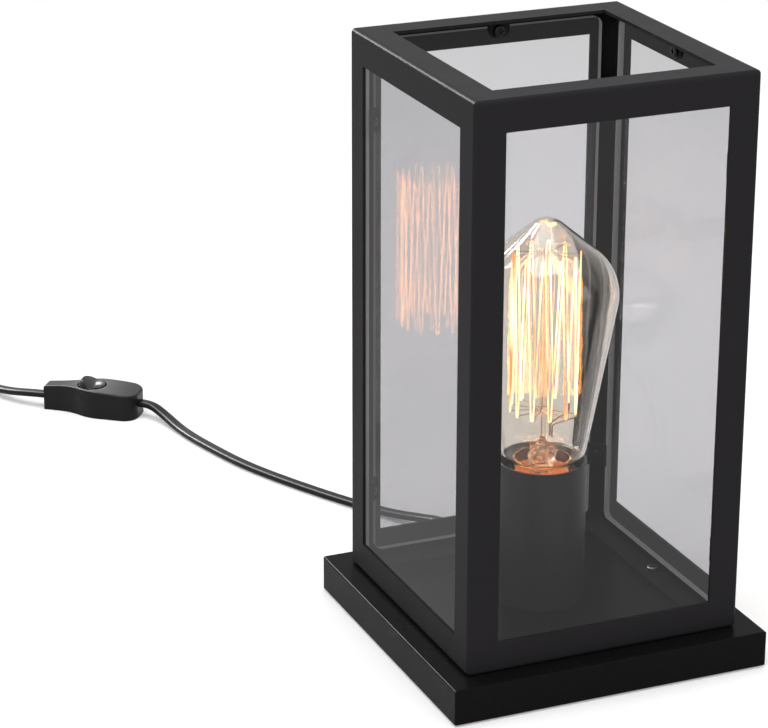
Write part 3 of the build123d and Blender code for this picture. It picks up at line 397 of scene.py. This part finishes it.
# floor, world and lamps
seenRays = ("Is Camera Ray", "Is Glossy Ray", "Is Transmission Ray")
studio = {
    "floor": {"size": 14.0, "colour": tone(0.8, 0.8, 0.8), "glow": 0.22, "fade": (1.1, 2.3)},
    "world": {"seen": 1.0, "fill": 0.55},
    "lamps": {
        "overhead": {"from": (-0.1, 0.1, 1.9), "to": (0, 0, 0.2), "size": 1.5, "watts": 25},
        "leftFront": {"from": (-1.7, -1.2, 1.1), "to": (0, 0, 0.15), "size": 1.1, "watts": 16},
        "rightFront": {"from": (1.5, -1.5, 0.9), "to": (0, 0, 0.15), "size": 0.9, "watts": 9},
    },
    "glints": {  # lamps that show only in gloss
        "rims": {"from": (-0.72, 1.75, 0.9), "to": (0, 0, 0.1), "size": 0.5, "watts": 60},
        "bulbShoulder": {"from": (-0.5, 1.05, 1.35), "to": (0, 0, 0.17), "size": 0.7, "watts": 48},
        "rockerRim": {
            "from": (0.0347, 0.7765, 0.1941), "to": (-0.1024, 0.3304, 0.0145), "size": 0.06, "watts": 0.11},
    },
}


def makeFloor():  # it fades out far off, and shows nothing from below
    spec = studio["floor"]
    bpy.ops.mesh.primitive_plane_add(size=spec["size"])
    floor = bpy.context.object
    floor.name = "floor"
    finish = Finish("paleFloor")
    cloth = finish.node("ShaderNodeBsdfDiffuse", None, {"Color": spec["colour"]})
    glow = finish.glow(white, finish.anyRay(*seenRays) * spec["glow"])
    lit = finish.node("ShaderNodeAddShader", None, {0: cloth, 1: glow})
    reach = finish.vector("LENGTH", {0: finish.place()})
    below = finish.node("ShaderNodeNewGeometry", out="Backfacing")
    away = finish.rise(reach, *spec["fade"], kind="SMOOTHSTEP").largest(below)
    dress(floor, finish.done(finish.blend(away, lit, finish.clear(white))))


def makeWorld():
    world = bpy.data.worlds.new("paleRoom")
    scene.world = world
    world.use_nodes = True
    sky = Finish("paleRoom", world.node_tree)
    seen, fill = studio["world"]["seen"], studio["world"]["fill"]
    strength = sky.anyRay(*seenRays) * (seen - fill) + fill
    air = sky.node("ShaderNodeBackground", None, {"Color": white, "Strength": strength})
    sky.node("ShaderNodeOutputWorld", None, {"Surface": air})


def hangLamps():
    for name, lamp in {**studio["lamps"], **studio["glints"]}.items():
        data = bpy.data.lights.new(name, "AREA")
        data.size = lamp["size"]
        data.energy = lamp["watts"]
        thing = bpy.data.objects.new(name, data)
        scene.collection.objects.link(thing)
        thing.visible_diffuse = name not in studio["glints"]
        way = Vector(lamp["to"]) - Vector(lamp["from"])
        turned = way.to_track_quat("-Z", "Y").to_matrix().to_4x4()
        thing.matrix_world = Matrix.Translation(lamp["from"]) @ turned


makeFloor()
makeWorld()
hangLamps()
print("studio built")


# modelling helpers
seedSize = 0.001
mergeGap = 0.00002


def alone(piece):
    bpy.ops.object.select_all(action="DESELECT")
    piece.select_set(True)
    bpy.context.view_layer.objects.active = piece


def pickFaces(piece, wanted):
    bpy.ops.object.mode_set(mode="EDIT")
    bpy.ops.mesh.select_mode(type="FACE")
    bpy.ops.mesh.select_all(action="DESELECT")
    bpy.ops.object.mode_set(mode="OBJECT")
    for face in piece.data.polygons:
        face.select = wanted(face)
    bpy.ops.object.mode_set(mode="EDIT")


def shadeBy(degrees):  # the selected piece is smooth up to this angle
    bpy.ops.object.shade_smooth_by_angle(angle=math.radians(degrees))


def applyAll(piece):
    alone(piece)
    for modifier in list(piece.modifiers):
        bpy.ops.object.modifier_apply(modifier=modifier.name)


def cutBoxes(piece, name, boxes):  # each box is a middle and a size
    cutters = []
    for middle, size in boxes:
        bpy.ops.mesh.primitive_cube_add(size=1, location=middle)
        cutter = bpy.context.object
        cutter.scale = size
        bpy.ops.object.transform_apply(location=True, scale=True)
        cut = piece.modifiers.new(name, "BOOLEAN")
        cut.operation = "DIFFERENCE"
        cut.object = cutter
        cutters.append(cutter)
    applyAll(piece)
    for cutter in cutters:
        bpy.data.objects.remove(cutter)


def drawLine(name, points):  # a line of (radius, height) points, drawn on from one vertex
    bpy.ops.object.select_all(action="DESELECT")
    bpy.ops.mesh.primitive_plane_add(size=seedSize)
    line = bpy.context.object
    line.name = name
    bpy.ops.object.mode_set(mode="EDIT")
    bpy.ops.mesh.select_mode(type="VERT")
    bpy.ops.mesh.select_all(action="SELECT")
    bpy.ops.mesh.merge(type="CENTER")
    bpy.ops.transform.translate(value=(points[0][0], 0, points[0][1]))
    for (radius, height), (nextRadius, nextHeight) in zip(points, points[1:]):
        step = (nextRadius - radius, 0, nextHeight - height)
        bpy.ops.mesh.extrude_region_move(TRANSFORM_OT_translate={"value": step})
    return line


def lathe(name, points, steps=64, crease=35):
    piece = drawLine(name, points)
    bpy.ops.mesh.select_all(action="SELECT")
    bpy.ops.mesh.spin(steps=steps, angle=2 * math.pi, center=(0, 0, 0), axis=(0, 0, 1))
    bpy.ops.mesh.select_all(action="SELECT")
    bpy.ops.mesh.remove_doubles(threshold=mergeGap)
    bpy.ops.mesh.normals_make_consistent(inside=False)
    bpy.ops.object.mode_set(mode="OBJECT")
    shadeBy(crease)
    return piece


def join(things):  # all in the first of them
    bpy.ops.object.select_all(action="DESELECT")
    for thing in things:
        thing.select_set(True)
    bpy.context.view_layer.objects.active = things[0]
    bpy.ops.object.join()
    return things[0]


def spread(master, name, seats):  # copies of one piece on their seats, joined
    copies = []
    for seat in seats:
        copy = bpy.data.objects.new(name, master.data.copy())
        copy.data.transform(seat)
        scene.collection.objects.link(copy)
        copies.append(copy)
    bpy.data.objects.remove(master)
    return join(copies)


def settle(piece, body, slot, *replaced):
    dress(piece, finishes[slot])
    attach(piece, body)
    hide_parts(*replaced)


# in-line switch: the place of its lamp end, and the way it lies
switch = {"near": (-0.0836, 0.3162, 0.007), "heading": 143.0, "length": 0.053}


def switchWay():
    heading = math.radians(switch["heading"])
    return Vector((math.cos(heading), math.sin(heading), 0))


# pan-head screws with a cross recess
lantern = {"width": 0.13}
screws = {
    "clip_screws": {
        "slot": "black_screw", "radius": 0.0021, "height": 0.0012, "shank": 0.0011, "length": 0.0045},
    "tongue_screws": {
        "slot": "black_screw", "radius": 0.0026, "height": 0.0015, "shank": 0.00125, "length": 0.0022},
    "frame_screws": {
        "slot": "bright_screw", "radius": 0.0029, "height": 0.0016, "shank": 0.0015, "length": 0.0061},
    "cover_screws": {
        "slot": "bright_screw", "radius": 0.0026, "height": 0.0008, "shank": 0.00125, "length": 0.007},
    "switch_screws": {
        "slot": "bright_screw", "radius": 0.0022, "height": 0.0014, "shank": 0.0012, "length": 0.0084},
}
screwHead = {
    "sides": 28,
    "round": 0.45,  # of the head's height
    "roundSteps": 4,
    "recess": (1.1, 0.3, 0.9),  # length and width of the head's radius, depth of its height
    "facing": 0.9,
    "crease": 35,
}
screwSeats = {
    "clip": {"reach": 0.011112, "levels": (0.054, 0.229)},
    "tongue": {"inset": 0.0071, "aside": 0.0029, "level": 0.2636},
    "frame": {"out": 0.058, "level": 0.0185},
    "cover": {"out": 0.066, "level": 0.0015},
    "switch": {"along": 0.0105, "across": 0.0063, "level": 0.0016},
}


def crossScrew(spec):
    radius, height = spec["radius"], spec["height"]
    bpy.ops.object.select_all(action="DESELECT")
    bpy.ops.mesh.primitive_cylinder_add(
        vertices=screwHead["sides"], radius=radius, depth=height, location=(0, 0, height / 2))
    screw = bpy.context.object
    bpy.ops.object.transform_apply(location=True)
    pickFaces(screw, lambda face: face.normal.z > screwHead["facing"])
    bpy.ops.mesh.region_to_loop()
    bpy.ops.mesh.bevel(
        offset=height * screwHead["round"], segments=screwHead["roundSteps"], affect="EDGES")
    pickFaces(screw, lambda face: face.normal.z < -screwHead["facing"])
    bpy.ops.mesh.inset(thickness=radius - spec["shank"])
    bpy.ops.mesh.extrude_region_move(TRANSFORM_OT_translate={"value": (0, 0, -spec["length"])})
    bpy.ops.object.mode_set(mode="OBJECT")
    long, wide, deep = screwHead["recess"]
    cutBoxes(screw, "crossRecess", [
        ((0, 0, height), (long * radius, wide * radius, deep * height)),
        ((0, 0, height), (wide * radius, long * radius, deep * height)),
    ])
    alone(screw)
    shadeBy(screwHead["crease"])
    return screw


def seatOn(place, axis):
    return Matrix.Translation(place) @ Vector(axis).to_track_quat("Z", "Y").to_matrix().to_4x4()


def ringOf(radius, level, start=0):  # four places round the axis
    for quarter in range(4):
        angle = math.radians(start + 90 * quarter)
        yield Vector((radius * math.cos(angle), radius * math.sin(angle), level))


def inwardSeats(radius, level, start, aside=0.0):
    seats = []
    for place in ringOf(radius, level, start):
        inward = Vector((-place.x, -place.y, 0)).normalized()
        seats.append(seatOn(place + Vector((-inward.y, inward.x, 0)) * aside, inward))
    return seats


def makeScrews():
    half, diagonal = lantern["width"] / 2, math.sqrt(2)
    up, down = (0, 0, 1), (0, 0, -1)
    clip, tongue, rail, cover, body = (
        screwSeats[key] for key in ("clip", "tongue", "frame", "cover", "switch"))
    along = switchWay()
    across = Vector((-along.y, along.x, 0))
    foot = Vector((*switch["near"][:2], body["level"])) + along * body["along"]
    seats = {
        "clip_screws": [seat for level in clip["levels"]
                        for seat in inwardSeats(half * diagonal - clip["reach"], level, 45)],
        "tongue_screws": inwardSeats(half - tongue["inset"], tongue["level"], 0, tongue["aside"]),
        "frame_screws": [seatOn(place, up) for place in ringOf(rail["out"], rail["level"])],
        "cover_screws": [seatOn(place, down)
                         for place in ringOf(cover["out"] * diagonal, cover["level"], 45)],
        "switch_screws": [seatOn(foot + across * body["across"] * hand, down) for hand in (1, -1)],
    }
    for node, spec in screws.items():
        piece = spread(crossScrew(spec), node.replace("_s", "S"), seats[node])
        settle(piece, "lamp", spec["slot"], node)


# bulb: blown glass, threaded cap and knobbly stem, all turned on the bulb's axis
bulb = {
    "rim": 0.08,
    "seat": 0.0758,  # top of the brass cap, down in the tube
    "cement": {"low": 0.075, "high": 0.0769, "radius": 0.0125, "bore": 0.003, "round": 0.0003},
    "glass": {"radius": 0.032, "length": 0.115, "wall": 0.001, "neck": 0.0132, "belly": 0.08,
              "shoulder": 0.024, "crown": 50.0, "cone": 10.0, "throat": 0.008, "throatLevel": 0.009,
              "throatSteps": 8, "shoulderSteps": 20, "pointSteps": 10},
    "press": {"low": -0.0022, "top": 0.0102, "grain": 0.0024, "depth": 0.0042, "middle": 0.36,
              "levels": 2},
    "thread": {"crest": 0.0131, "root": 0.0122, "pitch": 0.00362, "turns": 3, "low": 0.0601,
               "runOut": 0.0006, "waveSteps": 10, "turnSteps": 48, "crease": 45},
    "cap": {"foot": 0.0575, "footRadius": 0.0112, "rimRadius": 0.0136, "rimHeight": 0.0015,
            "round": 0.0003, "sheet": 0.0004},
    "stem": [
        (0, -0.0029), (0.005, -0.0029), (0.0056, -0.0016), (0.0057, 0), (0.005, 0.002), (0.0047, 0.0028),
        (0.0055, 0.0044), (0.0059, 0.0064), (0.0055, 0.0084), (0.0044, 0.0096), (0.003, 0.0103),
        (0.0018, 0.0112), (0.0012, 0.0127), (0.0011, 0.0152), (0.0011, 0.0243),
        (0.0021, 0.0248), (0.0024, 0.026), (0.0021, 0.0272), (0.0011, 0.0278), (0.0011, 0.0975),
        (0.0021, 0.0983), (0.0024, 0.0995), (0.0021, 0.1006), (0, 0.101),
    ],
}


def arc(centre, radius, start, end, steps):
    for step in range(steps + 1):
        angle = math.radians(start + (end - start) * step / steps)
        yield (centre[0] + radius * math.cos(angle), centre[1] + radius * math.sin(angle))


def bulbWall(inset):  # neck, throat, cone, shoulder, crown and point, drawn in by the inset
    spec, rim = bulb["glass"], bulb["rim"]
    cone, crown = math.radians(spec["cone"]), math.radians(spec["crown"])
    belly, point = rim + spec["belly"], rim + spec["length"]
    shoulderCentre = (spec["radius"] - spec["shoulder"], belly)
    pointRadius = (shoulderCentre[0] * math.cos(crown) + (belly - point) * math.sin(crown)
                   + spec["shoulder"]) / (1 - math.sin(crown))
    throatLevel = rim + spec["throatLevel"]
    throatOut = (shoulderCentre[0] + spec["shoulder"] * math.cos(cone)
                 - (belly - spec["shoulder"] * math.sin(cone) - throatLevel) * math.tan(cone))
    throatCentre = (throatOut - spec["throat"] * math.cos(cone),
                    throatLevel + spec["throat"] * math.sin(cone))
    neck, throat = spec["neck"] - inset, spec["throat"] - inset
    neckTurn = -math.degrees(math.acos((neck - throatCentre[0]) / throat))
    return [
        (neck, bulb["seat"]),
        *arc(throatCentre, throat, neckTurn, -spec["cone"], spec["throatSteps"]),
        *arc(shoulderCentre, spec["shoulder"] - inset, -spec["cone"], spec["crown"], spec["shoulderSteps"]),
        *arc((0, point - pointRadius), pointRadius - inset, spec["crown"], 90, spec["pointSteps"]),
    ]


def pinchStem(stem):  # the pressed foot of the stem is knobbly
    spec, rim = bulb["press"], bulb["rim"]
    knobs = bpy.data.textures.new("knobs", "CLOUDS")
    knobs.noise_scale = spec["grain"]
    knobs.noise_depth = 1
    knobs.noise_type = "HARD_NOISE"
    rounds = stem.modifiers.new("rounds", "SUBSURF")
    rounds.levels = rounds.render_levels = spec["levels"]
    applyAll(stem)
    foot = stem.vertex_groups.new(name="press")
    foot.add([vertex.index for vertex in stem.data.vertices
              if rim + spec["low"] < vertex.co.z < rim + spec["top"]], 1.0, "REPLACE")
    push = stem.modifiers.new("knobs", "DISPLACE")
    push.texture = knobs
    push.texture_coords = "LOCAL"
    push.strength = spec["depth"]
    push.mid_level = spec["middle"]
    push.vertex_group = foot.name
    applyAll(stem)
    bpy.ops.object.shade_smooth()


def makeCap():  # the thread is one wave on a screw, closed by a foot and a lip
    thread, cap, seat = bulb["thread"], bulb["cap"], bulb["seat"]
    root, low, pitch, count = (thread[key] for key in ("root", "low", "pitch", "waveSteps"))
    middle, swing = (thread["crest"] + root) / 2, (thread["crest"] - root) / 2
    worm = drawLine("bulbCap", [
        (middle - swing * math.cos(2 * math.pi * step / count), low + pitch * step / count)
        for step in range(count + 1)])
    bpy.ops.object.mode_set(mode="OBJECT")
    turn = worm.modifiers.new("thread", "SCREW")
    turn.screw_offset = pitch
    turn.iterations = thread["turns"]
    turn.steps = turn.render_steps = thread["turnSteps"]
    turn.use_merge_vertices = True
    applyAll(worm)
    foot, footInside = cap["footRadius"], cap["footRadius"] - cap["sheet"]
    lip, lipLow, bend = cap["rimRadius"], seat - cap["rimHeight"], cap["round"]
    bore = root - 2 * cap["sheet"]
    ends = lathe("capEnds", [
        (footInside, cap["foot"]), (foot, cap["foot"]), (root, low - thread["runOut"]), (root, lipLow),
        (lip - bend, lipLow), (lip, lipLow + bend), (lip, seat - bend), (lip - bend, seat),
        (bore, seat), (bore, low), (footInside, cap["foot"]),
    ])
    join([worm, ends])
    shadeBy(thread["crease"])
    settle(worm, "bulb", "brass", "bulb_cap")


def makeBulb():
    outer, inner = bulbWall(0), bulbWall(bulb["glass"]["wall"])
    glass = lathe("bulbGlass", inner[::-1] + outer, steps=96, crease=40)
    settle(glass, "bulb", "bulb_clear", "bulb_glass")
    line = [(radius, bulb["rim"] + height) for radius, height in bulb["stem"]]
    stem = lathe("bulbStem", line, steps=40, crease=70)
    pinchStem(stem)
    settle(stem, "bulb", "stem_clear", "bulb_stem")
    low, high, edge, bore, bend = (
        bulb["cement"][key] for key in ("low", "high", "radius", "bore", "round"))
    ring = [(bore, low), (edge, low), (edge, high - bend), (edge - bend, high), (bore, high), (bore, low)]
    settle(lathe("capCement", ring), "bulb", "cement", "cap_cement")
    makeCap()


# rubber feet with rounded rims
feet = {
    "out": 0.052,
    "profile": [(0, 0), (0.0054, 0), (0.0064, 0.0003), (0.007, 0.0009), (0.007, 0.0015), (0, 0.0015)],
}


def makeFeet():
    foot = lathe("rubberFoot", feet["profile"], steps=40)
    places = ringOf(feet["out"] * math.sqrt(2), 0, 45)
    piece = spread(foot, "rubberFeet", [Matrix.Translation(place) for place in places])
    settle(piece, "lamp", "foot_rubber", "rubber_feet")


# pieces whose sharp rims are broken; the clips' tabs are trimmed, to stay behind the posts
softened = {
    "switch_rocker": {"name": "switchRocker", "body": "rocker", "width": 0.0009},
    "corner_clips": {"name": "cornerClips", "body": "lamp", "width": 0.00025, "trim": 0.0533},
    "glass_tongues": {"name": "glassTongues", "body": "lamp", "width": 0.0003},
}
rims = {"merge": 0.000002, "flat": 1, "sharp": 40, "steps": 3, "crease": 35}


def breakRims():
    for node, spec in softened.items():
        piece = bpy.data.objects.new(spec["name"], nodes[node].data.copy())
        scene.collection.objects.link(piece)
        alone(piece)
        bpy.ops.object.mode_set(mode="EDIT")
        bpy.ops.mesh.select_all(action="SELECT")
        bpy.ops.mesh.remove_doubles(threshold=rims["merge"])
        bpy.ops.mesh.dissolve_limited(angle_limit=math.radians(rims["flat"]))
        bpy.ops.object.mode_set(mode="OBJECT")
        if "trim" in spec:
            gap = 2 * spec["trim"]
            cutBoxes(piece, "trim", [((0, 0, 0), (gap, 1, 1)), ((0, 0, 0), (1, gap, 1))])
        rim = piece.modifiers.new("rims", "BEVEL")
        rim.width = spec["width"]
        rim.segments = rims["steps"]
        rim.limit_method = "ANGLE"
        rim.angle_limit = math.radians(rims["sharp"])
        applyAll(piece)
        shadeBy(rims["crease"])
        settle(piece, spec["body"], slotOf[node], node)


# flat two-core cord: lamp to switch, and switch to plug with the put-away coil
cord = {
    "width": 0.0058,
    "thickness": 0.0034,
    "groove": 0.00035,
    "arcSteps": 8,
    "lineSteps": 8,
    "order": 3,
    "crease": 50,
    "straight": 0.009,
    "bushMouth": (0, 0.098, 0.009),
    "switchRun": 0.006,
    "coilRun": 0.0135,
    "lampRoute": [
        (-0.004, 0.121, 0.0054), (-0.014, 0.139, 0.0025), (-0.028, 0.163, 0.00185),
        (-0.045, 0.196, 0.00185), (-0.0585, 0.227, 0.00185), (-0.0665, 0.257, 0.00185),
        (-0.0702, 0.273, 0.00185), (-0.0724, 0.2875, 0.002), (-0.0748, 0.301, 0.004),
    ],
    "plugRoute": [
        (-0.1406, 0.3636, 0.0052), (-0.1474, 0.3784, 0.0032), (-0.1498, 0.398, 0.0026),
        (-0.148, 0.424, 0.0026), (-0.142, 0.45, 0.0026), (-0.1352, 0.475, 0.0026),
    ],
}
coil = {
    "start": (-0.126, 0.52),
    "turns": 3,  # in the lower layer, going in, and as many in the upper one, going out
    "climb": 0.5,  # the turn between the layers
    "pitch": 0.0064,
    "throat": 0.0235,
    "ease": 0.0032,
    "low": 0.0026,
    "high": 0.00685,
    "perTurn": 16,
}


def smooth(share):
    share = min(max(share, 0), 1)
    return share * share * (3 - 2 * share)


def coilPoints():
    turns, climb, count = coil["turns"], coil["climb"], coil["perTurn"]
    outer = coil["throat"] + coil["ease"] + turns * coil["pitch"]
    centre = Vector((coil["start"][0] - outer, coil["start"][1], 0))
    swell = 1 / math.cos(math.pi / count)  # the spline runs inside its points
    points = []
    for step in range(1, int((2 * turns + climb) * count)):
        turn = step / count
        outside = max(turns - turn, turn - turns - climb, 0)
        radius = (coil["throat"] + coil["ease"] * smooth(outside / climb) + coil["pitch"] * outside) * swell
        height = coil["low"] + smooth((turn - turns) / climb) * (coil["high"] - coil["low"])
        angle = 2 * math.pi * turn
        points.append(centre + Vector((radius * math.cos(angle), radius * math.sin(angle), height)))
    return outer, points


def cordProfile():  # two round cores side by side, with a groove between them above and below
    half, count = cord["thickness"] / 2, cord["arcSteps"]
    reach = cord["width"] / 2 - half
    ring = []
    for side in (1, -1):
        for x, y in arc((reach, 0), half, -90, 90, count):
            ring.append((side * x, side * y))
        ring.append((0, side * (half - cord["groove"])))
    data = bpy.data.curves.new("cordProfile", "CURVE")
    data.dimensions = "2D"
    spline = data.splines.new("POLY")
    spline.points.add(len(ring) - 1)
    for point, (x, y) in zip(spline.points, ring):
        point.co = (x, y, 0, 1)
    spline.use_cyclic_u = True
    return bpy.data.objects.new("cordProfile", data)


def meshOf(line):
    bpy.context.view_layer.update()
    return bpy.data.meshes.new_from_object(line.evaluated_get(bpy.context.evaluated_depsgraph_get()))


def layCord(name, route, *replaced):
    data = bpy.data.curves.new(name, "CURVE")
    data.dimensions = "3D"
    data.twist_mode = "Z_UP"
    data.resolution_u = cord["lineSteps"]
    spline = data.splines.new("NURBS")
    spline.points.add(len(route) - 1)
    for point, place in zip(spline.points, route):
        point.co = (*place, 1)
    spline.order_u = cord["order"]
    spline.use_endpoint_u = True
    line = bpy.data.objects.new(name + "Line", data)
    scene.collection.objects.link(line)
    thread = meshOf(line)
    path = [vertex.co.copy() for vertex in thread.vertices]
    profile = cordProfile()
    scene.collection.objects.link(profile)
    data.bevel_mode = "OBJECT"
    data.bevel_object = profile
    data.use_fill_caps = True
    piece = bpy.data.objects.new(name, meshOf(line))
    scene.collection.objects.link(piece)
    for spare in (line, profile):
        bpy.data.objects.remove(spare)
    bpy.data.meshes.remove(thread)
    alone(piece)
    shadeBy(cord["crease"])
    settle(piece, "lamp", "cord_black", *replaced)
    return piece, path


def makeCords():
    along = switchWay()
    mouth, near = Vector(cord["bushMouth"]), Vector(switch["near"])
    far = near + along * switch["length"]
    run = cord["straight"]
    lampRoute = [mouth, mouth + Vector((0, run, 0)), *cord["lampRoute"],
                 near - along * cord["switchRun"], near]
    outer, turns = coilPoints()
    start = Vector((*coil["start"], coil["low"]))
    end = Vector((start.x - 2 * outer, start.y, coil["high"]))
    lead = Vector((0, cord["width"], 0))
    plugRoute = [far, far + along * run, *cord["plugRoute"], start - lead - Vector((0, cord["coilRun"], 0)),
                 start - lead, start, *turns, end, end - lead]
    lampSide, lampPath = layCord("cordLampSide", lampRoute, "cord_lamp_side")
    plugSide, plugPath = layCord("cordPlugSide", plugRoute, "cord_plug_side", "cord_coil")


makeScrews()
makeBulb()
makeFeet()
breakRims()
print("screws, bulb, feet and broken rims modelled")
makeCords()
print("cords laid")
